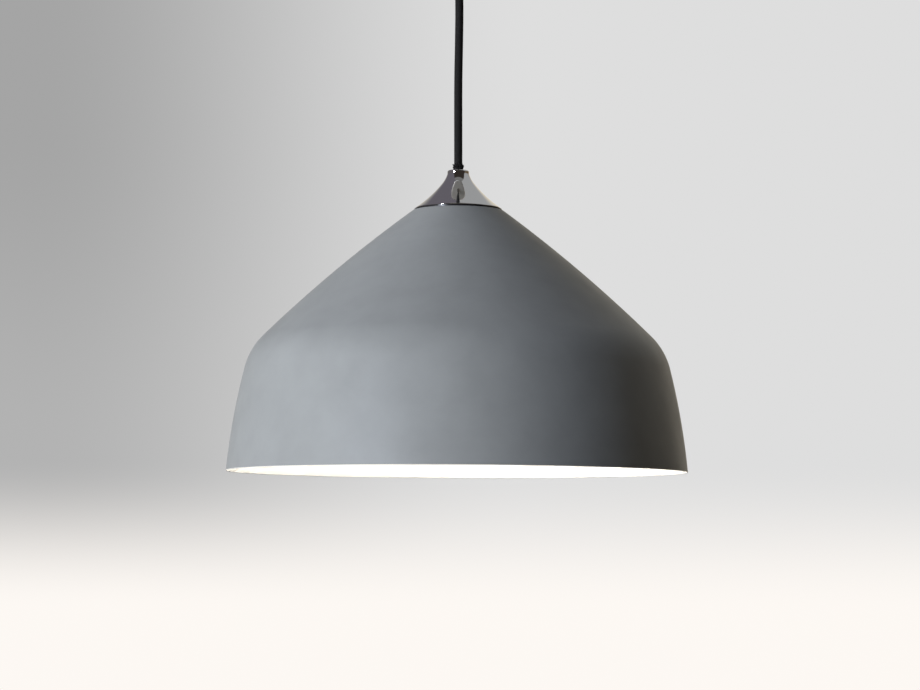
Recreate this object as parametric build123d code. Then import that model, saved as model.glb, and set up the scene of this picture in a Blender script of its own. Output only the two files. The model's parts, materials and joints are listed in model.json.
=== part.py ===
"""Pendant lamp: a spun metal dome shade on a textile cable under a ceiling rose.

Units are millimetres. The origin is the middle of the ceiling rose's mounting face,
+Z points up into the ceiling, and the whole lamp hangs below z = 0.
"""
from build123d import *
import os
from math import cos, pi, radians, sin

# ---- heights, all below the ceiling ----
PIVOT_Z = -42.0                   # mouth of the ceiling grip, where the cable starts to hang
NECK_TOP_Z = -189.3               # top of the chrome cap's neck
SHADE_TOP_Z = NECK_TOP_Z - 33.7   # flat top of the shade

# ---- shade: a spun cone, a soft shoulder and a steep lower wall ----
RIM_R = 190.0
SHADE_WALL = 1.0
SHADE_HOLE_R = 5.25
TOP_CORNER = (2.0, -36.67)        # radius and turn in degrees of each tangent arc, top to rim
UPPER_WALL = (1166.0, -7.93)
SHOULDER = (55.4, -31.5)
LOWER_WALL = (588.0, -8.34)

# ---- chrome cap: a trumpet with a short neck ----
NECK_R = 9.0
CAP_WALL = 0.9
CAP_HOLE_R = 3.95
CAP_SHOULDER = (1.0, -90.0)       # radius and turn of each tangent arc, top to lip
CAP_NECK_BEND = (5.0, 20.0)
CAP_THROAT = (26.0, 18.5)
CAP_FLARE = (104.0, 16.7)
GASKET_R = 36.4
GASKET_THICK = 1.2
SLIDE_GAP = 0.1                   # daylight between the cap and what it rests on
GASKET_TOP_Z = SHADE_TOP_Z + GASKET_THICK

# ---- cable: three cores in a braided textile sleeve ----
CABLE_R = 3.25
CABLE_BOTTOM_Z = SHADE_TOP_Z - 10.5
CABLE_TOP_Z = -14.0
CORE_R = 1.1
CORE_CIRCLE_R = 1.35
BUSH_BORE_R = CABLE_R + 0.3
BUSH_COLLAR_R = 4.1
BUSH_COLLAR_UP = 5.0              # height of the bush above the neck
BUSH_FLANGE_R = 6.5
BUSH_FLANGE_THICK = 1.5

# ---- ceiling rose ----
CANOPY_R = 50.0
CANOPY_HEIGHT = 26.0
CANOPY_WALL = 1.0
CANOPY_CORNER_R = 8.0
STRAP_THICK = 1.5
STRAP_WIDTH = 18.0
STRAP_HALF = 46.5                 # middle to the outside of an end tab
TAB_DROP = 15.0
SLOT_SPACING = 60.0
SLOT_LENGTH = 12.0
SLOT_WIDTH = 4.5
SIDE_SCREW_Z = -10.0
SIDE_SCREW_R = 1.5
EARTH_SCREW_X = 14.0
EARTH_SCREW_R = 2.0

# ---- metric hollow thread shared by the grips and the nipple ----
M10_R = 5.0
M10_NUT_ACROSS = 14.0
M10_NUT_THICK = 3.0

# ---- ceiling grip ----
GRIP_COLLAR_R = 7.5
GRIP_R = 6.5
GRIP_BORE_R = 3.9
LINER_R = 5.1
LINER_BORE_R = CABLE_R + 0.2
LINER_TOP_Z = -30.6
LINER_BOTTOM_Z = -39.4

# ---- terminal block in the rose ----
BLOCK_LENGTH = 34.0
BLOCK_WIDTH = 16.0
BLOCK_HEIGHT = 13.5
BLOCK_Y = 24.0
BLOCK_PITCH = 11.0
SLEEVE_R = 2.2
SLEEVE_BORE_R = 1.3

# ---- lamp holder, standard E27 ----
HOLDER_TOP_Z = SHADE_TOP_Z - SHADE_WALL
HOLDER_SPLIT_Z = HOLDER_TOP_Z - 20.0
HOLDER_BOTTOM_Z = HOLDER_TOP_Z - 55.3
DOME_R = 19.5
DOME_WALL = 2.2
DOME_ROOF = 3.0
SKIRT_R = 20.0
INSERT_R = 17.3
INSERT_THICK = 7.0
TERMINAL_X = 9.0
TERMINAL_HEIGHT = 6.0

# ---- E27 thread ----
THREAD_PITCH = 3.62
MALE_ROOT_R = 12.15
MALE_RIDGE_R = 1.0
FEMALE_INNER_R = 13.4
FEMALE_RIDGE_R = 0.9
SHEET_METAL = 0.6

# ---- LED bulb, standard A60 ----
TIP_Z = HOLDER_TOP_Z - 29.6
SCREW_CAP_BOTTOM_Z = TIP_Z - 26.3
GLOBE_R = 30.0
GLOBE_WALL = 1.2
GLOBE_Z = TIP_Z - 78.0
GLOBE_JOINT_UP = 18.0             # height of the globe's open edge above its centre
HOUSING_WALL = 1.5

NODES = {}


# ---------------------------------------------------------------- shape helpers
def direction(angle):
    """Unit vector in the section plane, at an angle in degrees from outwards."""
    return Vector(cos(radians(angle)), sin(radians(angle)))


def tangent_chain(start, angle, moves, shift):
    """Tangent lines (None, length) and arcs (radius, turn), moved sideways to the left."""
    here = Vector(*start) + direction(angle + 90) * shift
    edges = []
    for radius, amount in moves:
        if radius is None:
            edge = Line(here, here + direction(angle) * amount)
        else:
            side = 1 if amount > 0 else -1
            edge = JernArc(here, direction(angle), radius - side * shift, amount)
            angle += amount
        edges.append(edge)
        here = edge @ 1
    return edges


def sheet_section(start, angle, moves, thickness, round_end):
    """Section of a sheet of even thickness whose middle line follows the moves."""
    half = thickness / 2
    left = tangent_chain(start, angle, moves, half)
    right = tangent_chain(start, angle, moves, -half)
    open_end = Line(left[0] @ 0, right[0] @ 0)
    corners = left[-1] @ 1, right[-1] @ 1
    if round_end:
        tip = (corners[0] + corners[1]) / 2 + (left[-1] % 1) * half
        free_end = ThreePointArc(corners[0], tip, corners[1])
    else:
        free_end = Line(*corners)
    return make_face(left + right + [open_end, free_end])


def turned(section):
    """Solid made by turning a section, drawn as radius and height, round the axis."""
    return revolve(Plane.XZ * section, Axis.Z)


def lathe(*outline):
    return turned(make_face(Polyline(*outline, close=True)))


def ring(outer, inner, low, high):
    return lathe((inner, low), (outer, low), (outer, high), (inner, high))


def rod(radius, low, high):
    return Pos(0, 0, low) * extrude(Circle(radius), high - low)


def hexagon(across, low, high):
    return Pos(0, 0, low) * extrude(RegularPolygon(across / 2, 6, major_radius=False), high - low)


def block(low, high):
    """Box between two opposite corners."""
    size = [b - a for a, b in zip(low, high)]
    middle = [(a + b) / 2 for a, b in zip(low, high)]
    return Pos(*middle) * Box(*size)


def screw(shank_r, shank_length, head_r, head_height):
    """Slotted screw: the head sits on z = 0 and the shank runs up from it."""
    dome = lathe(
        (0, -head_height),
        (head_r * 0.7, -head_height),
        (head_r, -head_height * 0.45),
        (head_r, 0),
        (shank_r, 0),
        (shank_r, shank_length),
        (0, shank_length),
    )
    slot = block((-head_r, -head_r * 0.15, -head_height), (head_r, head_r * 0.15, -head_height * 0.5))
    return dome - slot


def wire(radius, *points):
    """Round wire through straight runs joined by tangent arcs."""
    path = FilletPolyline(*points, radius=2.2)
    return sweep(Plane(origin=path @ 0, z_dir=path % 0) * Circle(radius), path)


def helical_ridge(ridge_r, middle_r, low, turns):
    """Half-round screw thread, right-handed, whose first turn starts at height low."""
    path = Helix(THREAD_PITCH, THREAD_PITCH * turns, middle_r)
    section = Plane(origin=path @ 0, z_dir=path % 0, x_dir=(1, 0, 0)) * Circle(ridge_r)
    return Pos(0, 0, low) * sweep(section, path, is_frenet=True)


def core_start(number, z):
    """Where one of the three cores leaves the end of the cable."""
    angle = radians(90 + 120 * number)
    return (CORE_CIRCLE_R * cos(angle), CORE_CIRCLE_R * sin(angle), z)


# ---------------------------------------------------------------- ceiling rose
def ceiling_bracket():
    half_width = STRAP_WIDTH / 2
    strap = block((-STRAP_HALF, -half_width, -STRAP_THICK), (STRAP_HALF, half_width, 0))
    tongue = block((-7, 0, -STRAP_THICK), (7, BLOCK_Y + BLOCK_WIDTH / 2, 0))
    bracket = strap + tongue
    for side in (-1, 1):
        inside, outside = sorted((side * (STRAP_HALF - STRAP_THICK), side * STRAP_HALF))
        bracket += block((inside, -7, -TAB_DROP), (outside, 7, 0))
        slot = SlotOverall(SLOT_LENGTH, SLOT_WIDTH)
        bracket -= Pos(side * SLOT_SPACING / 2, 0, -5) * extrude(slot, 10)
        bracket -= Pos(side * STRAP_HALF, 0, SIDE_SCREW_Z) * Rot(0, 90, 0) * Cylinder(SIDE_SCREW_R, 8)
    bracket -= Pos(EARTH_SCREW_X, 0, 0) * Cylinder(EARTH_SCREW_R, 10)
    bracket -= Pos(0, BLOCK_Y, 0) * Cylinder(SIDE_SCREW_R, 10)
    return bracket


def ceiling_canopy():
    wall_down = CANOPY_HEIGHT - CANOPY_CORNER_R
    flat = CANOPY_R - CANOPY_CORNER_R - M10_R - 0.1
    half = CANOPY_WALL / 2
    moves = [(None, wall_down), (CANOPY_CORNER_R - half, -90), (None, flat)]
    canopy = turned(sheet_section((CANOPY_R - half, 0), 270, moves, CANOPY_WALL, False))
    for side in (-1, 1):
        canopy -= Pos(side * CANOPY_R, 0, SIDE_SCREW_Z) * Rot(0, 90, 0) * Cylinder(SIDE_SCREW_R + 0.2, 8)
    return canopy


def canopy_side_screws():
    one = Pos(CANOPY_R, 0, SIDE_SCREW_Z) * Rot(0, -90, 0) * screw(SIDE_SCREW_R, 9, 2.8, 1.8)
    return one + Rot(0, 0, 180) * one


def ceiling_grip_body():
    canopy_bottom = -CANOPY_HEIGHT
    body = lathe(
        (GRIP_COLLAR_R, canopy_bottom),
        (GRIP_COLLAR_R, -30.0),
        (GRIP_R, -31.0),
        (GRIP_R, -41.0),
        (GRIP_R - 1.0, PIVOT_Z),
        (GRIP_BORE_R, PIVOT_Z),
        (GRIP_BORE_R, LINER_BOTTOM_Z - 0.1),
        (LINER_R + 0.1, LINER_BOTTOM_Z - 0.1),
        (LINER_R + 0.1, LINER_TOP_Z + 0.1),
        (GRIP_BORE_R, LINER_TOP_Z + 0.1),
        (GRIP_BORE_R, -17.0),
        (M10_R, -17.0),
        (M10_R, canopy_bottom),
    )
    return body - Pos(GRIP_R, 0, -35) * Rot(0, 90, 0) * Cylinder(SIDE_SCREW_R, 6)


def ceiling_grip_screw():
    return Pos(GRIP_R + 0.3, 0, -35) * Rot(0, -90, 0) * screw(SIDE_SCREW_R, 1.6, 2.4, 1.4)


def ceiling_grip_nut():
    low = CANOPY_WALL - CANOPY_HEIGHT
    return hexagon(M10_NUT_ACROSS, low, low + M10_NUT_THICK) - rod(M10_R, low - 1, low + M10_NUT_THICK + 1)


def terminal_block():
    low_z = -STRAP_THICK - BLOCK_HEIGHT
    low = (-BLOCK_LENGTH / 2, BLOCK_Y - BLOCK_WIDTH / 2, low_z)
    high = (BLOCK_LENGTH / 2, BLOCK_Y + BLOCK_WIDTH / 2, -STRAP_THICK)
    body = block(low, high)
    for x in (-BLOCK_PITCH, 0, BLOCK_PITCH):
        body -= Pos(x, BLOCK_Y, low_z + 5) * Rot(90, 0, 0) * Cylinder(SLEEVE_R, BLOCK_WIDTH + 2)
        for y in (BLOCK_Y - 5, BLOCK_Y + 5):
            body -= Pos(x, y, low_z) * Cylinder(1.7, 6)
    for x in (-BLOCK_PITCH / 2, BLOCK_PITCH / 2):
        body -= block((x - 0.6, low[1] - 1, low_z - 1), (x + 0.6, high[1] + 1, low_z + 3))
    body -= Pos(0, BLOCK_Y, -STRAP_THICK) * Cylinder(SIDE_SCREW_R, 10)
    return body


def terminal_sleeves():
    low_z = -STRAP_THICK - BLOCK_HEIGHT
    sleeves = []
    for x in (-BLOCK_PITCH, 0, BLOCK_PITCH):
        tube = Cylinder(SLEEVE_R, BLOCK_WIDTH - 2) - Cylinder(SLEEVE_BORE_R, BLOCK_WIDTH)
        sleeves.append(Pos(x, BLOCK_Y, low_z + 5) * Rot(90, 0, 0) * tube)
    return Compound(children=sleeves)


def terminal_screws():
    low_z = -STRAP_THICK - BLOCK_HEIGHT
    screws = []
    for x in (-BLOCK_PITCH, 0, BLOCK_PITCH):
        for y in (BLOCK_Y - 5, BLOCK_Y + 5):
            screws.append(Pos(x, y, low_z + 1.3) * screw(1.0, 1.4, 1.6, 1.1))
    return Compound(children=screws)


def block_screw():
    return Pos(0, BLOCK_Y, 0) * rod(SIDE_SCREW_R, -6.2, -0.2)


def bracket_earth_screw():
    return Pos(EARTH_SCREW_X, 0, -STRAP_THICK) * screw(EARTH_SCREW_R, STRAP_THICK - 0.2, 3.8, 2.4)


def rose_core(number, x):
    """One core, from the top of the cable to its way in the terminal block."""
    start = core_start(number, CABLE_TOP_Z + 0.1)
    way_z = -STRAP_THICK - BLOCK_HEIGHT + 5
    entry_y = BLOCK_Y - BLOCK_WIDTH / 2 + 0.9
    turn_z = -5.5 if number else -8.0
    return wire(
        CORE_R,
        start,
        (start[0], start[1], turn_z),
        (x * 0.55, 7.5, turn_z),
        (x, 11.5, way_z),
        (x, entry_y, way_z),
    )


# ---------------------------------------------------------------- cable
def cable_top():
    """Clamped end of the cable, from the grip's mouth up into the rose."""
    return rod(CABLE_R, PIVOT_Z + CABLE_R + 0.15, CABLE_TOP_Z)


def cable():
    """Hanging cable with a round top, so that it can tilt inside the grip's mouth."""
    return rod(CABLE_R, CABLE_BOTTOM_Z, PIVOT_Z) + Pos(0, 0, PIVOT_Z) * Sphere(CABLE_R)


# ---------------------------------------------------------------- shade and its fixings
def shade():
    half = SHADE_WALL / 2
    start = (SHADE_HOLE_R, SHADE_TOP_Z - half)
    wall = [TOP_CORNER, UPPER_WALL, SHOULDER, LOWER_WALL]
    reach = (tangent_chain(start, 0, wall, 0)[-1] @ 1).X
    moves = [(None, RIM_R - half - reach)] + wall
    return turned(sheet_section(start, 0, moves, SHADE_WALL, True))


def nipple():
    return ring(M10_R, 3.6, SHADE_TOP_Z - 9.0, SHADE_TOP_Z + 8.5)


def nipple_nut():
    high = SHADE_TOP_Z + M10_NUT_THICK
    return hexagon(M10_NUT_ACROSS, SHADE_TOP_Z, high) - rod(M10_R, SHADE_TOP_Z - 1, high + 1)


def holder_lock_nut():
    high = HOLDER_TOP_Z - DOME_ROOF - 0.7
    nut = hexagon(M10_NUT_ACROSS, high - M10_NUT_THICK, high)
    return nut - rod(M10_R, high - M10_NUT_THICK - 1, high + 1)


def earth_tag():
    """Ring terminal clamped between the holder's roof and its lock nut."""
    high = HOLDER_TOP_Z - DOME_ROOF
    tongue = block((-2.5, 7, high - 0.6), (2.5, 13, high))
    fold = block((-2.5, 12.4, high - 4.5), (2.5, 13, high))
    return ring(8.5, M10_R, high - 0.6, high) + tongue + fold


def holder_grip():
    low = SHADE_TOP_Z + M10_NUT_THICK + 0.1
    body = lathe(
        (8.0, low),
        (8.0, low + 4.0),
        (7.0, low + 5.0),
        (7.0, low + 15.5),
        (5.8, low + 16.7),
        (CABLE_R, low + 16.7),
        (CABLE_R, low + 6.0),
        (M10_R, low + 6.0),
        (M10_R, low),
    )
    return body - Pos(7, 0, low + 11) * Rot(0, 90, 0) * Cylinder(SIDE_SCREW_R, 7)


def holder_grip_screw():
    z = SHADE_TOP_Z + M10_NUT_THICK + 11.1
    return Pos(7.1, 0, z) * Rot(0, -90, 0) * screw(SIDE_SCREW_R, 3.4, 2.4, 1.4)


def cap_gasket():
    return ring(GASKET_R, 31.0, SHADE_TOP_Z, GASKET_TOP_Z)


# ---------------------------------------------------------------- chrome cap
def chrome_cap():
    half = CAP_WALL / 2
    roof = NECK_R - half - CAP_SHOULDER[0] - CAP_HOLE_R
    flare = [CAP_NECK_BEND, CAP_THROAT, CAP_FLARE]
    start = (CAP_HOLE_R, NECK_TOP_Z - half)
    lowest = (tangent_chain(start, 0, [(None, roof), CAP_SHOULDER] + flare, 0)[-1] @ 1).Y - half
    straight = lowest - GASKET_TOP_Z - SLIDE_GAP
    moves = [(None, roof), CAP_SHOULDER, (None, straight)] + flare
    return turned(sheet_section(start, 0, moves, CAP_WALL, True))


def cap_bush():
    """Black grommet in the neck; the cable slides through it."""
    top = NECK_TOP_Z + BUSH_COLLAR_UP
    under = NECK_TOP_Z - CAP_WALL
    return lathe(
        (BUSH_BORE_R, top),
        (BUSH_COLLAR_R - 0.3, top),
        (BUSH_COLLAR_R, top - 0.6),
        (BUSH_COLLAR_R, NECK_TOP_Z),
        (CAP_HOLE_R, NECK_TOP_Z),
        (CAP_HOLE_R, under),
        (BUSH_FLANGE_R, under),
        (BUSH_FLANGE_R, under - BUSH_FLANGE_THICK),
        (BUSH_BORE_R, under - BUSH_FLANGE_THICK),
    )


# ---------------------------------------------------------------- lamp holder
def holder_dome():
    return lathe(
        (M10_R, HOLDER_TOP_Z),
        (DOME_R - 5.0, HOLDER_TOP_Z),
        (DOME_R - 1.5, HOLDER_TOP_Z - 1.8),
        (DOME_R, HOLDER_TOP_Z - 5.5),
        (DOME_R, HOLDER_SPLIT_Z),
        (DOME_R - DOME_WALL, HOLDER_SPLIT_Z),
        (DOME_R - DOME_WALL, HOLDER_TOP_Z - DOME_ROOF - 3.0),
        (DOME_R - DOME_WALL - 2.5, HOLDER_TOP_Z - DOME_ROOF),
        (M10_R, HOLDER_TOP_Z - DOME_ROOF),
    )


def holder_skirt():
    high = HOLDER_SPLIT_Z - 0.1
    ledge = high - 0.1 - INSERT_THICK
    bore = FEMALE_INNER_R + 1.8
    return lathe(
        (SKIRT_R, high),
        (SKIRT_R, HOLDER_BOTTOM_Z + 8.0),
        (SKIRT_R - 1.5, HOLDER_BOTTOM_Z),
        (bore, HOLDER_BOTTOM_Z),
        (bore, ledge),
        (INSERT_R + 0.1, ledge),
        (INSERT_R + 0.1, high),
    )


def holder_insert():
    high = HOLDER_SPLIT_Z - 0.2
    low = high - INSERT_THICK
    body = rod(INSERT_R, low, high)
    for side in (-1, 1):
        body -= Pos(side * TERMINAL_X, 0, 0) * rod(1.2, low - 1, high + 1)
    return body


def thread_shell():
    """Corrugated brass socket that the bulb screws into."""
    roof = HOLDER_SPLIT_Z - 0.2 - INSERT_THICK - 0.3
    low = HOLDER_BOTTOM_Z + 1.5
    outer = FEMALE_INNER_R + SHEET_METAL
    tube = ring(outer, FEMALE_INNER_R, low, roof) + ring(outer, 11.0, roof - SHEET_METAL, roof)
    ridge_low = SCREW_CAP_BOTTOM_Z + THREAD_PITCH * 1.5
    return tube + helical_ridge(FEMALE_RIDGE_R, FEMALE_INNER_R, ridge_low, 3.5)


def centre_contact():
    """Springy brass leaf that presses on the bulb's tip."""
    under = HOLDER_SPLIT_Z - 0.2 - INSERT_THICK
    leaf_z = TIP_Z + 0.1
    foot = block((-TERMINAL_X - 1.0, -2.5, under - 0.5), (-4.5, 2.5, under))
    slope = block((-5.0, -2.5, leaf_z), (-4.5, 2.5, under))
    leaf = block((-5.0, -2.5, leaf_z), (4.5, 2.5, leaf_z + 0.5))
    return foot + slope + leaf


def side_contact():
    """Brass strip between the ceramic and the threaded shell."""
    under = HOLDER_SPLIT_Z - 0.2 - INSERT_THICK
    return block((TERMINAL_X - 2.0, -2.5, under - 0.3), (13.0, 2.5, under))


def holder_terminals():
    low = HOLDER_SPLIT_Z - 0.2
    blocks = []
    for side in (-1, 1):
        x = side * TERMINAL_X
        body = block((x - 3, -3, low), (x + 3, 3, low + TERMINAL_HEIGHT))
        body -= Pos(x, 0, low + TERMINAL_HEIGHT) * Cylinder(CORE_R + 0.05, 7)
        body -= Pos(x, -3, low + 2) * Rot(90, 0, 0) * Cylinder(1.25, 4)
        blocks.append(body)
    return Compound(children=blocks)


def holder_terminal_screws():
    z = HOLDER_SPLIT_Z - 0.2 + 2
    screws = []
    for side in (-1, 1):
        screws.append(Pos(side * TERMINAL_X, -3, z) * Rot(-90, 0, 0) * screw(1.2, 1.5, 2.0, 1.2))
    return Compound(children=screws)


def head_core(number, x, y, end_z):
    """One core, from the lower end of the cable to its terminal in the holder."""
    start = core_start(number, CABLE_BOTTOM_Z - 0.1)
    return wire(CORE_R, start, (start[0], start[1], start[2] - 3.5), (x, y, end_z + 3.5), (x, y, end_z))


# ---------------------------------------------------------------- bulb
def bulb_tip_contact():
    return lathe((0, TIP_Z), (3.4, TIP_Z), (4.5, TIP_Z - 0.4), (4.5, TIP_Z - 0.8), (0, TIP_Z - 0.8))


def bulb_insulator():
    high = TIP_Z - 0.9
    return lathe((0, high), (5.0, high), (7.5, high - 2.3), (7.5, high - 3.5), (0, high - 3.5))


def bulb_screw_cap():
    high = TIP_Z - 3.2
    inner = MALE_ROOT_R - SHEET_METAL
    skin = lathe(
        (7.6, high),
        (MALE_ROOT_R - 0.8, high - 1.6),
        (MALE_ROOT_R, high - 2.8),
        (MALE_ROOT_R, SCREW_CAP_BOTTOM_Z),
        (inner, SCREW_CAP_BOTTOM_Z),
        (inner, high - 3.2),
        (7.6, high - SHEET_METAL - 0.9),
    )
    return skin + helical_ridge(MALE_RIDGE_R, MALE_ROOT_R, SCREW_CAP_BOTTOM_Z + THREAD_PITCH, 4.2)


def globe_joint():
    """Radius and height of the edge where the globe meets the housing."""
    return (GLOBE_R ** 2 - GLOBE_JOINT_UP ** 2) ** 0.5, GLOBE_Z + GLOBE_JOINT_UP


def bulb_housing():
    joint_r, joint_z = globe_joint()
    high = SCREW_CAP_BOTTOM_Z - 0.1
    waist_r = 15.0
    outside = Spline(
        (waist_r, high - 1.5), (joint_r, joint_z + 0.1), tangents=[(0.15, -1), (0.75, -1)]
    )
    inside = Spline(
        (joint_r - HOUSING_WALL, joint_z + 0.1),
        (waist_r - HOUSING_WALL, high - 1.5),
        tangents=[(-0.75, 1), (-0.15, 1)],
    )
    rim = Line(outside @ 1, inside @ 0)
    collar = Polyline(
        inside @ 1,
        (MALE_ROOT_R - 2.0, high - 1.5),
        (MALE_ROOT_R - 2.0, high),
        (waist_r - 1.0, high),
        outside @ 0,
    )
    return turned(make_face([outside, rim, inside] + collar.edges()))


def bulb_globe():
    joint_r, joint_z = globe_joint()
    sphere = Pos(0, 0, GLOBE_Z) * (Sphere(GLOBE_R) - Sphere(GLOBE_R - GLOBE_WALL))
    return sphere - block((-GLOBE_R, -GLOBE_R, joint_z), (GLOBE_R, GLOBE_R, GLOBE_Z + GLOBE_R))


def bulb_led_board():
    low = GLOBE_Z + GLOBE_JOINT_UP - 1.8
    board = rod(20.0, low, low + 1.6)
    chips = []
    for number in range(10):
        angle = 2 * pi * number / 10
        chips.append(Pos(14 * cos(angle), 14 * sin(angle), low - 0.4) * Box(3, 3, 0.8))
    for chip in chips:
        board += chip
    return board


def bulb_heat_spreader():
    low = GLOBE_Z + GLOBE_JOINT_UP - 0.1
    return lathe(
        (3.0, low), (21.5, low), (20.0, low + 4.0), (18.8, low + 4.0), (20.0, low + 1.5), (3.0, low + 1.5)
    )


def bulb_driver_board():
    low = GLOBE_Z + GLOBE_JOINT_UP + 4.5
    board = block((-8.0, -0.8, low), (8.0, 0.8, SCREW_CAP_BOTTOM_Z + 10))
    choke = block((-4.0, 0.8, low + 3), (4.0, 6.0, low + 11))
    capacitor = Pos(0, -4.2, low + 15) * Cylinder(3.5, 12)
    return board + choke + capacitor


# ---------------------------------------------------------------- the whole lamp
def make_nodes():
    NODES["ceiling_bracket"] = ceiling_bracket()
    NODES["ceiling_canopy"] = ceiling_canopy()
    NODES["canopy_side_screws"] = canopy_side_screws()
    NODES["bracket_earth_screw"] = bracket_earth_screw()
    NODES["ceiling_grip_body"] = ceiling_grip_body()
    NODES["ceiling_grip_liner"] = ring(LINER_R, LINER_BORE_R, LINER_BOTTOM_Z, LINER_TOP_Z)
    NODES["ceiling_grip_nut"] = ceiling_grip_nut()
    NODES["ceiling_grip_screw"] = ceiling_grip_screw()
    NODES["terminal_block"] = terminal_block()
    NODES["terminal_sleeves"] = terminal_sleeves()
    NODES["terminal_screws"] = terminal_screws()
    NODES["block_screw"] = block_screw()
    for number, name, x in ((0, "earth", 0), (1, "live", -BLOCK_PITCH), (2, "neutral", BLOCK_PITCH)):
        NODES["rose_core_" + name] = rose_core(number, x)

    NODES["cable_top"] = cable_top()
    NODES["cable"] = cable()

    NODES["shade"] = shade()
    NODES["cap_gasket"] = cap_gasket()
    NODES["nipple"] = nipple()
    NODES["nipple_nut"] = nipple_nut()
    NODES["holder_lock_nut"] = holder_lock_nut()
    NODES["earth_tag"] = earth_tag()
    NODES["holder_grip"] = holder_grip()
    NODES["holder_grip_screw"] = holder_grip_screw()

    NODES["holder_dome"] = holder_dome()
    NODES["holder_skirt"] = holder_skirt()
    NODES["holder_insert"] = holder_insert()
    NODES["thread_shell"] = thread_shell()
    NODES["centre_contact"] = centre_contact()
    NODES["side_contact"] = side_contact()
    NODES["holder_terminals"] = holder_terminals()
    NODES["holder_terminal_screws"] = holder_terminal_screws()
    terminal_z = HOLDER_SPLIT_Z - 0.2 + TERMINAL_HEIGHT - 1.5
    tag_z = HOLDER_TOP_Z - DOME_ROOF - 5.0
    NODES["head_core_live"] = head_core(1, -TERMINAL_X, 0, terminal_z)
    NODES["head_core_neutral"] = head_core(2, TERMINAL_X, 0, terminal_z)
    NODES["head_core_earth"] = wire(
        CORE_R,
        core_start(0, CABLE_BOTTOM_Z - 0.1),
        (0, CORE_CIRCLE_R, CABLE_BOTTOM_Z - 4.0),
        (0, 10.0, CABLE_BOTTOM_Z - 4.0),
        (0, 11.2, tag_z),
    )

    NODES["chrome_cap"] = chrome_cap()
    NODES["cap_bush"] = cap_bush()

    NODES["bulb_tip_contact"] = bulb_tip_contact()
    NODES["bulb_screw_cap"] = bulb_screw_cap()
    NODES["bulb_insulator"] = bulb_insulator()
    NODES["bulb_housing"] = bulb_housing()
    NODES["bulb_globe"] = bulb_globe()
    NODES["bulb_led_board"] = bulb_led_board()
    NODES["bulb_heat_spreader"] = bulb_heat_spreader()
    NODES["bulb_driver_board"] = bulb_driver_board()


make_nodes()
os.makedirs("parts", exist_ok=True)
for name, shape in NODES.items():
    export_step(shape, "parts/" + name + ".step")
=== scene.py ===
"""Looks of the pendant lamp, built round its CAD frame, in metres, +Z up.

The lamp hangs from z = 0. Most heights are read from the boxes of the CAD nodes.
"""
import json
import math
import random

import bpy
from mathutils import Matrix, Vector


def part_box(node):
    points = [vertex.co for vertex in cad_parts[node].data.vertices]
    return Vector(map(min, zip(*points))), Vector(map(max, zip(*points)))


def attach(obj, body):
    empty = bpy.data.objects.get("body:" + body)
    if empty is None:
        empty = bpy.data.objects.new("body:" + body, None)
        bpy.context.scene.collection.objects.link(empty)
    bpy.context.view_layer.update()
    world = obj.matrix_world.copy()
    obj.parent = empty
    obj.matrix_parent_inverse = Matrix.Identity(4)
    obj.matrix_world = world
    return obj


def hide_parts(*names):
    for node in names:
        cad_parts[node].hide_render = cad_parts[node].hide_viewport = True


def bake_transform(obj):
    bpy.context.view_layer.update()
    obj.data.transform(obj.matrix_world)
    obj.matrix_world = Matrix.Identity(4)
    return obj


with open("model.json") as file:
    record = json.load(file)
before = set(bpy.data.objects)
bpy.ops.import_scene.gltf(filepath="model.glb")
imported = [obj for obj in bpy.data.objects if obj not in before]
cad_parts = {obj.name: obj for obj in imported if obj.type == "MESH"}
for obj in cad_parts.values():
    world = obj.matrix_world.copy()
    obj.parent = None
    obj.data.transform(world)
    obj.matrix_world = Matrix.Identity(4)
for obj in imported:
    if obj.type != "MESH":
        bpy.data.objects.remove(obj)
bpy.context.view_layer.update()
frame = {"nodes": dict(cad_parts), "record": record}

MM = 0.001
SEGMENTS = 192                     # sides of the shade and the cap
BUSH_SEGMENTS = 72
ARC_STEPS = 28                     # chords of each arc in an outline
LINE_STEPS = 7                     # pieces of each straight line in an outline
TIP_STEPS = 8                      # chords of a sheet's round free end

SHADE_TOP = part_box("shade")[1].z
RIM_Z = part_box("shade")[0].z
NECK_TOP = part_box("chrome_cap")[1].z
CAP_LIP_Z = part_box("chrome_cap")[0].z

# the shade and the cap are sheets of even thickness: radius and turn of each arc
RIM_R = 190.0 * MM
SHADE_WALL = 1.0 * MM
SHADE_HOLE_R = 5.25 * MM
SHADE_ARCS = [(2.0 * MM, -36.67), (1166.0 * MM, -7.93), (55.4 * MM, -31.5), (588.0 * MM, -8.34)]
NECK_R = 9.0 * MM
CAP_WALL = 0.9 * MM
CAP_HOLE_R = 3.95 * MM
CAP_SHOULDER = (1.0 * MM, -90.0)
CAP_FLARE = [(5.0 * MM, 20.0), (26.0 * MM, 18.5), (104.0 * MM, 16.7)]

CABLE_R = 3.25 * MM
CABLE_LOW = -231.5 * MM
CABLE_HIGH = -38.6 * MM
# distance below the cable's top, and how far the cable strays sideways there
CABLE_WANDER = [(12 * MM, 0.35 * MM), (38 * MM, 0.2 * MM), (75 * MM, -0.4 * MM), (115 * MM, -0.2 * MM)]
CABLE_STEP = 0.3 * MM

BRAID_SIDES = 84
BRAID_STRANDS = 12                 # in each of the two directions
BRAID_PITCH = 20.0 * MM
BRAID_DEPTH = 0.28 * MM
BRAID_SINK = 0.15                  # share of the depth that lies inside the cable's radius
BRAID_DIVE = 0.45                  # how much a strand sinks at the ends of each crown

BUSH_BORE_R = CABLE_R + 0.57 * MM
BUSH_FLANGE_R = 6.5 * MM
FIBRES = 130
FIBRE_STEPS = 5
FIBRE_SIDES = 5
FIBRE_TAPER = 0.45

BULB_GLOW = 50.0
NOISE_LOW, NOISE_HIGH = 0.3, 0.7   # a noise texture stays mostly between these

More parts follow.
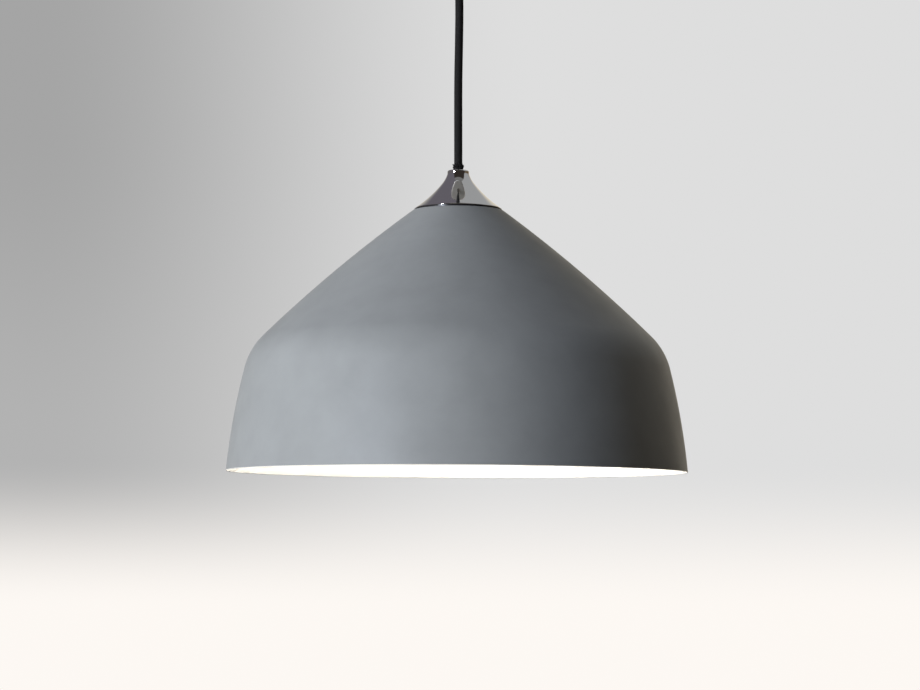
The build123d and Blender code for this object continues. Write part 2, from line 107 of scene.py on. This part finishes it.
CAMERA_AWAY = 2.341
CAMERA_BELOW_RIM = 0.0668
AIM_ABOVE_RIM = 0.1051
AIM_RIGHT = 0.0021
CAMERA_LENS = 111.0                # millimetres, on a sensor 36 mm wide
CAMERA_ROLL = 0.266                # degrees

FLOOR_HALF = 14.0
FLOOR_Z = -2.3
FLOOR_COLOUR = (0.70, 0.69, 0.67)


# ---------------------------------------------------------------- mesh helpers
def add_mesh(name, points, faces, material):
    mesh = bpy.data.meshes.new(name)
    mesh.from_pydata([tuple(point) for point in points], [], faces)
    mesh.validate()
    mesh.shade_smooth()
    piece = bpy.data.objects.new(name, mesh)
    bpy.context.scene.collection.objects.link(piece)
    piece.data.materials.append(material)
    return piece


def direction(angle):
    return Vector((math.cos(angle), math.sin(angle)))


def outward(angle, radius):
    """Level vector of a given length, at an angle round the Z axis."""
    return Vector((radius * math.cos(angle), radius * math.sin(angle), 0))


def band(low, high, sides):
    """Faces between two rings of points, each given by the index of its first point."""
    faces = []
    for side in range(sides):
        after = (side + 1) % sides
        faces.append((low + side, low + after, high + after, high + side))
    return faces


def trace(start, angle, moves, shift):
    """Points of tangent lines (None, length) and arcs (radius, turn), shifted to the left."""
    angle = math.radians(angle)
    here = Vector(start) + shift * direction(angle + math.pi / 2)
    points = [here]
    for radius, amount in moves:
        if radius is None:
            for step in range(1, LINE_STEPS + 1):
                points.append(here + direction(angle) * amount * step / LINE_STEPS)
        else:
            turn = math.radians(amount)
            side = math.copysign(1.0, turn)
            arm = side * (radius - side * shift)
            centre = here + arm * direction(angle + math.pi / 2)
            for step in range(1, ARC_STEPS + 1):
                points.append(centre - arm * direction(angle + turn * step / ARC_STEPS + math.pi / 2))
            angle += turn
        here = points[-1]
    return points


def sheet_outline(start, angle, moves, thickness):
    """Closed outline of a sheet with a round free end. Also says where that end begins."""
    half = thickness / 2
    front = trace(start, angle, moves, half)
    back = trace(start, angle, moves, -half)
    middle = (front[-1] + back[-1]) / 2
    arm = front[-1] - middle
    tip = []
    for step in range(1, TIP_STEPS):
        tip.append(middle + Matrix.Rotation(-math.pi * step / TIP_STEPS, 2) @ arm)
    return front + tip + back[::-1], len(front) - 1


def turned(outline, segments):
    """Points and faces of a closed outline of (radius, height) turned round the Z axis."""
    count = len(outline)
    points, faces = [], []
    for step in range(segments):
        angle = 2 * math.pi * step / segments
        for radius, height in outline:
            points.append((radius * math.cos(angle), radius * math.sin(angle), height))
        here, there = step * count, (step + 1) % segments * count
        for index in range(count):
            after = (index + 1) % count
            faces.append((here + after, there + after, there + index, here + index))
    return points, faces


# ---------------------------------------------------------------- material helpers
def new_material(name, colour, roughness, metallic=0.0, **sockets):
    """Principled material. Extra sockets are given with underscores for spaces."""
    material = bpy.data.materials.new(name)
    material.use_nodes = True
    shader = principled(material)
    shader.inputs["Base Color"].default_value = (*colour, 1.0)
    shader.inputs["Roughness"].default_value = roughness
    shader.inputs["Metallic"].default_value = metallic
    for socket, value in sockets.items():
        shader.inputs[socket.replace("_", " ")].default_value = value
    return material


def principled(material):
    return material.node_tree.nodes["Principled BSDF"]


def add_node(material, kind, **values):
    """Adds a node and sets its inputs, named with underscores for spaces."""
    node = material.node_tree.nodes.new(kind)
    for socket, value in values.items():
        node.inputs[socket.replace("_", " ")].default_value = value
    return node


def join(material, source, socket, target, into):
    material.node_tree.links.new(source.outputs[socket], target.inputs[into])


def noise(material, scale, detail, stretch=(1, 1, 1)):
    """Noise in object coordinates. A stretch below 1 draws it out along that axis."""
    position = add_node(material, "ShaderNodeTexCoord")
    mapping = add_node(material, "ShaderNodeMapping", Scale=stretch)
    join(material, position, "Object", mapping, "Vector")
    node = add_node(material, "ShaderNodeTexNoise", Scale=scale, Detail=detail, Roughness=0.55)
    join(material, mapping, "Vector", node, "Vector")
    return node


def vary_colour(material, source, dark, light):
    """The base colour runs from dark to light with a noise."""
    ramp = add_node(material, "ShaderNodeValToRGB")
    ramp.color_ramp.elements[0].position = NOISE_LOW
    ramp.color_ramp.elements[0].color = (*dark, 1.0)
    ramp.color_ramp.elements[1].position = NOISE_HIGH
    ramp.color_ramp.elements[1].color = (*light, 1.0)
    join(material, source, "Fac", ramp, "Fac")
    join(material, ramp, "Color", principled(material), "Base Color")


def vary_roughness(material, source, low, high):
    spread = add_node(material, "ShaderNodeMapRange", From_Min=NOISE_LOW, From_Max=NOISE_HIGH)
    spread.inputs["To Min"].default_value = low
    spread.inputs["To Max"].default_value = high
    join(material, source, "Fac", spread, "Value")
    join(material, spread, "Result", principled(material), "Roughness")


def add_bump(material, source, depth, strength):
    """Bump of a depth in metres, on top of any bump that is already there."""
    bump = add_node(material, "ShaderNodeBump", Strength=strength, Distance=depth)
    join(material, source, "Fac", bump, "Height")
    normal = principled(material).inputs["Normal"]
    if normal.links:
        material.node_tree.links.new(normal.links[0].from_socket, bump.inputs["Normal"])
    material.node_tree.links.new(bump.outputs["Normal"], normal)


def shaded(colour, factor):
    return tuple(channel * factor for channel in colour)


def grey(value):
    return (value, value, value)


# ---------------------------------------------------------------- materials
def powder_coat(name, colour, roughness):
    """Powder coat on metal: fine orange peel, faint cloudiness and shallow forming marks."""
    material = new_material(name, colour, roughness, Specular_IOR_Level=0.3)
    clouds = noise(material, scale=34.0, detail=7.0)
    vary_colour(material, clouds, shaded(colour, 0.95), shaded(colour, 1.05))
    wear = noise(material, scale=60.0, detail=3.0)
    vary_roughness(material, wear, roughness - 0.03, roughness + 0.05)
    forming_marks = noise(material, scale=26.0, detail=2.0, stretch=(1, 1, 8))
    add_bump(material, forming_marks, depth=0.00012, strength=0.35)
    orange_peel = noise(material, scale=950.0, detail=3.0)
    add_bump(material, orange_peel, depth=0.00006, strength=0.6)
    return material


def white_enamel():
    """Satin white inside of the shade."""
    white = (0.86, 0.85, 0.82)
    material = new_material("white_enamel", white, 0.42)
    vary_colour(material, noise(material, scale=20.0, detail=3.0), shaded(white, 0.97), white)
    add_bump(material, noise(material, scale=1500.0, detail=2.0), depth=0.00003, strength=0.4)
    return material


def chrome():
    """Polished chrome: a mirror with a faint haze and turning lines."""
    material = new_material("polished_chrome", (0.80, 0.80, 0.81), 0.05, metallic=1.0)
    vary_roughness(material, noise(material, scale=90.0, detail=4.0), 0.03, 0.085)
    turning_lines = noise(material, scale=700.0, detail=2.0, stretch=(0.02, 0.02, 1))
    add_bump(material, turning_lines, depth=0.000004, strength=0.25)
    return material


def turned_metal(name, colour, roughness):
    """Plated or bare metal with fine machining lines and a little tarnish."""
    material = new_material(name, colour, roughness, metallic=1.0)
    clouds = noise(material, scale=240.0, detail=4.0)
    vary_colour(material, clouds, shaded(colour, 0.82), colour)
    vary_roughness(material, clouds, roughness * 0.75, roughness * 1.35)
    machining_lines = noise(material, scale=2600.0, detail=2.0, stretch=(0.08, 0.08, 1))
    add_bump(material, machining_lines, depth=0.00002, strength=0.35)
    return material


def moulded(name, colour, roughness, grain=1400.0, depth=0.00002, **sockets):
    """Moulded plastic, rubber or ceramic with a fine surface grain."""
    material = new_material(name, colour, roughness, **sockets)
    clouds = noise(material, scale=180.0, detail=3.0)
    vary_colour(material, clouds, shaded(colour, 0.9), shaded(colour, 1.06))
    vary_roughness(material, clouds, roughness * 0.88, roughness * 1.15)
    add_bump(material, noise(material, scale=grain, detail=3.0), depth, strength=0.5)
    return material


def black_textile():
    """Black rayon yarn: fine fibres along the strands and a soft sheen."""
    black = (0.0075, 0.0072, 0.0072)
    material = new_material(
        "black_textile", black, 0.78,
        Specular_IOR_Level=0.3, Sheen_Weight=0.03, Sheen_Roughness=0.4, Sheen_Tint=(0.6, 0.6, 0.65, 1),
    )
    yarn = noise(material, scale=1300.0, detail=3.0)
    vary_colour(material, yarn, shaded(black, 0.4), shaded(black, 2.2))
    fibres = noise(material, scale=5200.0, detail=2.0, stretch=(1, 1, 0.35))
    add_bump(material, fibres, depth=0.00008, strength=0.7)
    return material


def opal_glow():
    """Opal plastic with the LEDs on behind it."""
    material = new_material(
        "opal_globe", (0.93, 0.91, 0.86), 0.45,
        Emission_Color=(1.0, 0.95, 0.87, 1.0), Emission_Strength=BULB_GLOW,
    )
    add_bump(material, noise(material, scale=1600.0, detail=2.0), depth=0.00002, strength=0.3)
    return material


# colour and roughness of each
METALS = {
    "zinc_steel": ((0.62, 0.63, 0.65), 0.3),
    "brass": ((0.80, 0.58, 0.26), 0.26),
    "solder_tip": ((0.66, 0.66, 0.66), 0.36),
    "nickel_plate": ((0.72, 0.71, 0.68), 0.2),
    "bare_aluminium": ((0.78, 0.78, 0.79), 0.34),
}
# colour and roughness of each, then the scale and depth of its grain where they are special
MOULDINGS = {
    "white_nylon": ((0.80, 0.80, 0.77), 0.42),
    "clear_nylon": ((0.72, 0.71, 0.65), 0.35),
    "black_phenolic": ((0.022, 0.020, 0.019), 0.3, 600.0, 0.00003),
    "white_ceramic": ((0.84, 0.83, 0.79), 0.22, 500.0, 0.00004),
    "live_insulation": ((0.16, 0.07, 0.035), 0.38),
    "neutral_insulation": ((0.04, 0.13, 0.42), 0.38),
    "earth_insulation": ((0.22, 0.42, 0.06), 0.38),
    "black_glass": ((0.012, 0.012, 0.016), 0.12, 300.0, 0.00003),
    "white_plastic": ((0.84, 0.84, 0.82), 0.4),
    "led_board": ((0.84, 0.84, 0.78), 0.5),
    "circuit_board": ((0.05, 0.2, 0.07), 0.4),
}
MATERIALS = {
    "grey_powder_coat": powder_coat("grey_powder_coat", (0.250, 0.265, 0.272), 0.46),
    "white_powder_coat": powder_coat("white_powder_coat", (0.84, 0.84, 0.82), 0.42),
    "chrome": chrome(),
    "black_textile": black_textile(),
    "black_rubber": moulded("black_rubber", (0.016, 0.016, 0.017), 0.27, Specular_IOR_Level=0.35),
    "opal_globe": opal_glow(),
}
for metal_name, look in METALS.items():
    MATERIALS[metal_name] = turned_metal(metal_name, *look)
for moulding_name, look in MOULDINGS.items():
    MATERIALS[moulding_name] = moulded(moulding_name, *look)
WHITE_ENAMEL = white_enamel()


def finish_cad_nodes():
    """Gives each CAD node the procedural material of its slot in the record."""
    for subpart in frame["record"]["subparts"]:
        node = frame["nodes"][subpart["node"]]
        for slot in node.material_slots:
            slot.material = MATERIALS[subpart["material_slot"]]


# ---------------------------------------------------------------- pieces
def place(piece, body, slot, *nodes):
    """Puts a piece on its body, in place of its CAD nodes."""
    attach(piece, body)
    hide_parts(*nodes)


def make_shade():
    """Dome of one sheet, grey outside, and white from its rolled rim inwards."""
    half = SHADE_WALL / 2
    start = (SHADE_HOLE_R, SHADE_TOP - half)
    reach = trace(start, 0, SHADE_ARCS, 0)[-1].x
    moves = [(None, RIM_R - half - reach)] + SHADE_ARCS
    outline, white_from = sheet_outline(start, 0, moves, SHADE_WALL)
    points, faces = turned(outline, SEGMENTS)
    shade = add_mesh("dome_shade", points, faces, MATERIALS["grey_powder_coat"])
    shade.data.materials.append(WHITE_ENAMEL)
    for polygon in shade.data.polygons:
        if polygon.index % len(outline) >= white_from:
            polygon.material_index = 1
    place(shade, "pendant", "grey_powder_coat", "shade")


def make_cap():
    """Chrome trumpet: flat roof, short straight neck and a flare."""
    half = CAP_WALL / 2
    roof = NECK_R - half - CAP_SHOULDER[0] - CAP_HOLE_R
    start = (CAP_HOLE_R, NECK_TOP - half)
    flare_drop = trace(start, 0, [(None, roof), CAP_SHOULDER] + CAP_FLARE, 0)[-1].y
    straight = flare_drop - half - CAP_LIP_Z
    moves = [(None, roof), CAP_SHOULDER, (None, straight)] + CAP_FLARE
    outline, _ = sheet_outline(start, 0, moves, CAP_WALL)
    points, faces = turned(outline, SEGMENTS)
    cap = add_mesh("trumpet_cap", points, faces, MATERIALS["chrome"])
    place(cap, "cap", "chrome", "chrome_cap")


def cable_route():
    """Centre line of the cable, top to bottom, read from its NURBS spline."""
    points = [(0.0, 0.0, CABLE_HIGH)]
    for drop, sideways in CABLE_WANDER:
        points.append((sideways, 0.0, CABLE_HIGH - drop))
    points += [(0.0, 0.0, NECK_TOP), (0.0, 0.0, CABLE_LOW)]
    curve = bpy.data.curves.new("cable_route", "CURVE")
    curve.dimensions = "3D"
    spline = curve.splines.new("NURBS")
    spline.points.add(len(points) - 1)
    for point, position in zip(spline.points, points):
        point.co = (*position, 1.0)
    spline.order_u = 3
    spline.use_endpoint_u = True
    spline.resolution_u = 32
    holder = bpy.data.objects.new("cable_route", curve)
    mesh = bpy.data.meshes.new_from_object(holder)
    line = [vertex.co.copy() for vertex in mesh.vertices]
    bpy.data.objects.remove(holder)
    bpy.data.curves.remove(curve)
    bpy.data.meshes.remove(mesh)
    return line


def resample(line, step):
    """Points every step along a line."""
    result, carry = [line[0]], 0.0
    for here, there in zip(line, line[1:]):
        length = (there - here).length
        while carry + step <= length:
            carry += step
            result.append(here.lerp(there, carry / length))
        carry -= length
    result.append(line[-1])
    return result


def braid_height(turn, run):
    """Near 0 in the grooves, to 1 on the crowns of a two-way braid.

    turn is the fraction of a turn round the cable, run the fraction of a strand's pitch.
    """
    one = BRAID_STRANDS * (turn + run)
    other = BRAID_STRANDS * (turn - run)
    across, along = one % 1 - 0.5, other % 1 - 0.5
    if (math.floor(one) + math.floor(other)) % 2:
        across, along = along, across
    crown = math.sqrt(max(0.0, 1 - (2 * across) ** 2))
    return crown * (1 - BRAID_DIVE + BRAID_DIVE * math.cos(math.pi * along))


def make_cable():
    """Braided sleeve as real strands over the cable's route."""
    line = resample(cable_route(), CABLE_STEP)
    points, faces = [], []
    for index, centre in enumerate(line):
        run = (CABLE_HIGH - centre.z) / BRAID_PITCH
        for side in range(BRAID_SIDES):
            turn = side / BRAID_SIDES
            radius = CABLE_R + BRAID_DEPTH * (braid_height(turn, run) - BRAID_SINK)
            points.append(centre + outward(2 * math.pi * turn, radius))
        if index:
            faces += band(index * BRAID_SIDES, (index - 1) * BRAID_SIDES, BRAID_SIDES)
    faces.append(tuple(range(BRAID_SIDES)))
    faces.append(tuple(range(len(points) - 1, len(points) - 1 - BRAID_SIDES, -1)))
    cable = add_mesh("braided_cable", points, faces, MATERIALS["black_textile"])
    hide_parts("cable", "cable_top")
    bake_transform(cable)


def tube_along(line, radius):
    """Points and faces of a thin closed tube along a few points."""
    points, faces = [], []
    last = len(line) - 1
    for index, centre in enumerate(line):
        after, before = line[min(index + 1, last)], line[max(index - 1, 0)]
        turn = (after - before).to_track_quat("Z", "X")
        taper = radius * (FIBRE_TAPER if index == last else 1.0)
        for side in range(FIBRE_SIDES):
            points.append(centre + turn @ outward(2 * math.pi * side / FIBRE_SIDES, taper))
    for index in range(last):
        faces += band(index * FIBRE_SIDES, (index + 1) * FIBRE_SIDES, FIBRE_SIDES)
    faces.append(tuple(reversed(range(FIBRE_SIDES))))
    faces.append(tuple(range(len(points) - FIBRE_SIDES, len(points))))
    return points, faces


def bush_outline():
    """Grommet with its flange under the cap's roof and its worn collar above it."""
    low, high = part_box("cap_bush")[0].z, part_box("cap_bush")[1].z
    return [
        (BUSH_BORE_R, high - 0.4 * MM),
        (BUSH_BORE_R + 0.08 * MM, high - 0.1 * MM),
        (CAP_HOLE_R, high - 0.9 * MM),
        (CAP_HOLE_R - 0.05 * MM, NECK_TOP + 2.4 * MM),
        (CAP_HOLE_R + 0.05 * MM, NECK_TOP + 1.2 * MM),
        (CAP_HOLE_R + 0.15 * MM, NECK_TOP),
        (CAP_HOLE_R, NECK_TOP),
        (CAP_HOLE_R, NECK_TOP - CAP_WALL),
        (BUSH_FLANGE_R, NECK_TOP - CAP_WALL),
        (BUSH_FLANGE_R, low),
        (BUSH_BORE_R, low),
    ]


def fibre_line(dice):
    """Centre line of one frayed fibre, which rises from the collar and leans out."""
    angle = dice.uniform(0, 2 * math.pi)
    foot = NECK_TOP + dice.uniform(0.1, 2.6) * MM
    length = dice.uniform(1.6, 3.4) * MM
    lean = dice.uniform(0.0, 1.0) ** 3 * 0.5
    drift = dice.uniform(-0.4, 0.4)
    line = []
    for step in range(FIBRE_STEPS + 1):
        part = step / FIBRE_STEPS
        reach = CAP_HOLE_R - 0.05 * MM + length * lean * part ** 2
        sideways = outward(angle + math.pi / 2, length * drift * part)
        line.append(outward(angle, reach) + sideways + Vector((0, 0, foot + length * part)))
    return line


def make_frayed_bush():
    """Grommet in the neck with the sleeve's bunched, frayed yarn round its collar."""
    points, faces = turned(bush_outline(), BUSH_SEGMENTS)
    dice = random.Random(7)
    for _ in range(FIBRES):
        line = fibre_line(dice)
        more, more_faces = tube_along(line, dice.uniform(0.10, 0.24) * MM)
        faces += [tuple(index + len(points) for index in face) for face in more_faces]
        points += more
    bush = add_mesh("frayed_bush", points, faces, MATERIALS["black_textile"])
    place(bush, "cap", "black_textile", "cap_bush")


# ---------------------------------------------------------------- camera, light and stage
def make_camera():
    """Slightly below the rim, looking up a little, as a person sees a hanging lamp."""
    aim = Vector((AIM_RIGHT, 0.0, RIM_Z + AIM_ABOVE_RIM))
    eye = Vector((0.0, -CAMERA_AWAY, RIM_Z - CAMERA_BELOW_RIM))
    data = bpy.data.cameras.new("camera")
    data.sensor_width = 36.0
    data.lens = CAMERA_LENS
    data.clip_start, data.clip_end = 0.05, 200.0
    camera = bpy.data.objects.new("camera", data)
    turn = (aim - eye).to_track_quat("-Z", "Y").to_matrix()
    roll = Matrix.Rotation(math.radians(CAMERA_ROLL), 3, "Z")
    camera.matrix_world = Matrix.Translation(eye) @ (turn @ roll).to_4x4()
    bpy.context.scene.collection.objects.link(camera)
    bpy.context.scene.camera = camera


def add_sun(name, azimuth, elevation, power, spread, colour, mirrored):
    """Distant light. Azimuth 0 is the camera's side, and positive is to the right."""
    data = bpy.data.lights.new(name, "SUN")
    data.energy, data.angle, data.color = power, math.radians(spread), colour
    light = bpy.data.objects.new(name, data)
    bearing, height = math.radians(azimuth), math.radians(elevation)
    level = math.cos(height)
    towards = Vector((math.sin(bearing) * level, -math.cos(bearing) * level, math.sin(height)))
    light.rotation_euler = towards.to_track_quat("Z", "Y").to_euler()
    light.visible_glossy = mirrored
    bpy.context.scene.collection.objects.link(light)


def make_lights():
    """Broad daylight from the left, a small window in it, and a warm edge light behind."""
    add_sun("key", -63.0, -6.0, 4.7, 40.0, (1.0, 0.98, 0.945), mirrored=False)
    add_sun("window", -43.0, 8.0, 1.6, 8.0, (0.90, 0.98, 1.15), mirrored=True)
    add_sun("rim", 150.0, 15.0, 1.2, 30.0, (1.0, 0.90, 0.74), mirrored=False)


# what the camera sees behind the lamp: painted shade darkens its left side and a painted glow of the
# lamp's light brightens it near the floor
WALL = {
    # painted shade: darker on the left, lighter lower down and towards the right
    "left": grey(0.375),
    "left, low": grey(0.45),
    "right": grey(0.73),
    # painted glow of the lamp's light on the wall near the floor
    "painted lamp glow near the floor": (0.98, 0.94, 0.90),
    "elsewhere": grey(0.62),
    "elsewhere, low": FLOOR_COLOUR,
}
# what lights the lamp and shows in its chrome
ROOM = {
    "left, low": (0.14, 0.13, 0.13),
    "left, high": (0.14, 0.13, 0.15),
    "right, low": (0.13, 0.09, 0.045),
    "right, high": (0.37, 0.375, 0.375),
    "behind, left": (0.42, 0.41, 0.38),
    "behind, right": (0.80, 0.72, 0.58),
    "front": (0.035, 0.029, 0.024),
    "front, overhead": (0.19, 0.19, 0.185),
    "below": (0.085, 0.06, 0.03),
}


def make_world():
    """Pale backdrop for the camera, with painted shade on its left and a painted glow of the lamp's
    light near the floor, and a dimmer room for light and reflections.
    """
    world = bpy.data.worlds.new("studio")
    bpy.context.scene.world = world
    world.use_nodes = True
    nodes, links = world.node_tree.nodes, world.node_tree.links

    def put(value, socket):
        """Sets a socket to a number or a colour, or links another socket to it."""
        if isinstance(value, bpy.types.NodeSocket):
            links.new(value, socket)
        elif isinstance(value, tuple):
            socket.default_value = (*value, 1.0)
        else:
            socket.default_value = value

    def calculate(operation, first, second):
        node = nodes.new("ShaderNodeMath")
        node.operation = operation
        put(first, node.inputs[0])
        put(second, node.inputs[1])
        return node.outputs["Value"]

    def step(source, low, high):
        """0 where the source is at low, to 1 at high. Low may be the larger one."""
        node = nodes.new("ShaderNodeMapRange")
        node.interpolation_type = "SMOOTHSTEP"
        put(low, node.inputs["From Min"])
        put(high, node.inputs["From Max"])
        put(source, node.inputs["Value"])
        return node.outputs["Result"]

    def blend(amount, first, second):
        """First colour where the amount is 0, to the second where it is 1."""
        node = nodes.new("ShaderNodeMixRGB")
        put(amount, node.inputs["Fac"])
        put(first, node.inputs["Color1"])
        put(second, node.inputs["Color2"])
        return node.outputs["Color"]

    looking = nodes.new("ShaderNodeTexCoord")
    axes = nodes.new("ShaderNodeSeparateXYZ")
    links.new(looking.outputs["Generated"], axes.inputs[0])
    across, away, up = axes.outputs["X"], axes.outputs["Y"], axes.outputs["Z"]
    # radians to the right of the camera's side
    bearing = calculate("ARCTAN2", across, calculate("MULTIPLY", away, -1.0))

    # painted shade: the backdrop darkens towards its left and lightens to the right
    left = blend(step(up, 0.15, 0.03), WALL["left"], WALL["left, low"])
    wall = blend(step(across, -0.15, 0.03), left, WALL["right"])
    # painted glow of the lamp's light along the bottom of the backdrop
    wall = blend(step(up, 0.033, -0.02), wall, WALL["painted lamp glow near the floor"])
    plain = blend(step(up, -0.25, 0.1), WALL["elsewhere, low"], WALL["elsewhere"])
    wall = blend(step(away, 0.8, 0.96), plain, wall)

    to_the_right = step(bearing, -0.6, 0.6)
    low_room = blend(to_the_right, ROOM["left, low"], ROOM["right, low"])
    high_room = blend(to_the_right, ROOM["left, high"], ROOM["right, high"])
    room = blend(step(up, 0.15, 0.5), low_room, high_room)
    back = blend(step(across, -0.3, 0.2), ROOM["behind, left"], ROOM["behind, right"])
    room = blend(step(away, 0.72, 0.98), room, back)
    front = calculate("MULTIPLY", step(bearing, -0.95, -0.87), step(bearing, 1.33, 1.25))
    room = blend(front, room, ROOM["front, overhead"])
    below_overhead = calculate("MULTIPLY", front, step(up, 0.90, 0.87))
    room = blend(below_overhead, room, ROOM["front"])
    room = blend(step(up, -0.02, -0.4), room, ROOM["below"])

    rays = nodes.new("ShaderNodeLightPath")
    seen = blend(rays.outputs["Is Camera Ray"], room, wall)
    links.new(seen, nodes["Background"].inputs["Color"])


def make_floor():
    """Pale floor far below the lamp, which fades into the backdrop."""
    material = new_material(
        "studio_floor", shaded(FLOOR_COLOUR, 0.25), 0.9, Emission_Color=(*FLOOR_COLOUR, 1.0),
    )
    shader = principled(material)
    rays = add_node(material, "ShaderNodeLightPath")
    join(material, rays, "Is Camera Ray", shader, "Emission Strength")
    spot = add_node(material, "ShaderNodeTexCoord")
    distance = add_node(material, "ShaderNodeVectorMath")
    distance.operation = "LENGTH"
    join(material, spot, "Object", distance, 0)
    fade = add_node(material, "ShaderNodeMapRange", From_Min=4.0, From_Max=12.0)
    join(material, distance, "Value", fade, "Value")
    clear = add_node(material, "ShaderNodeBsdfTransparent")
    mix = add_node(material, "ShaderNodeMixShader")
    join(material, fade, "Result", mix, "Fac")
    join(material, shader, "BSDF", mix, 1)
    join(material, clear, "BSDF", mix, 2)
    join(material, mix, "Shader", material.node_tree.nodes["Material Output"], "Surface")
    half, z = FLOOR_HALF, FLOOR_Z
    corners = [(-half, -half, z), (half, -half, z), (half, half, z), (-half, half, z)]
    floor = add_mesh("studio_floor", corners, [(0, 1, 2, 3)], material)


finish_cad_nodes()
make_camera()
make_shade()
make_cap()
make_cable()
make_frayed_bush()
make_world()
make_floor()
make_lights()
bpy.context.scene.view_settings.view_transform = "Standard"
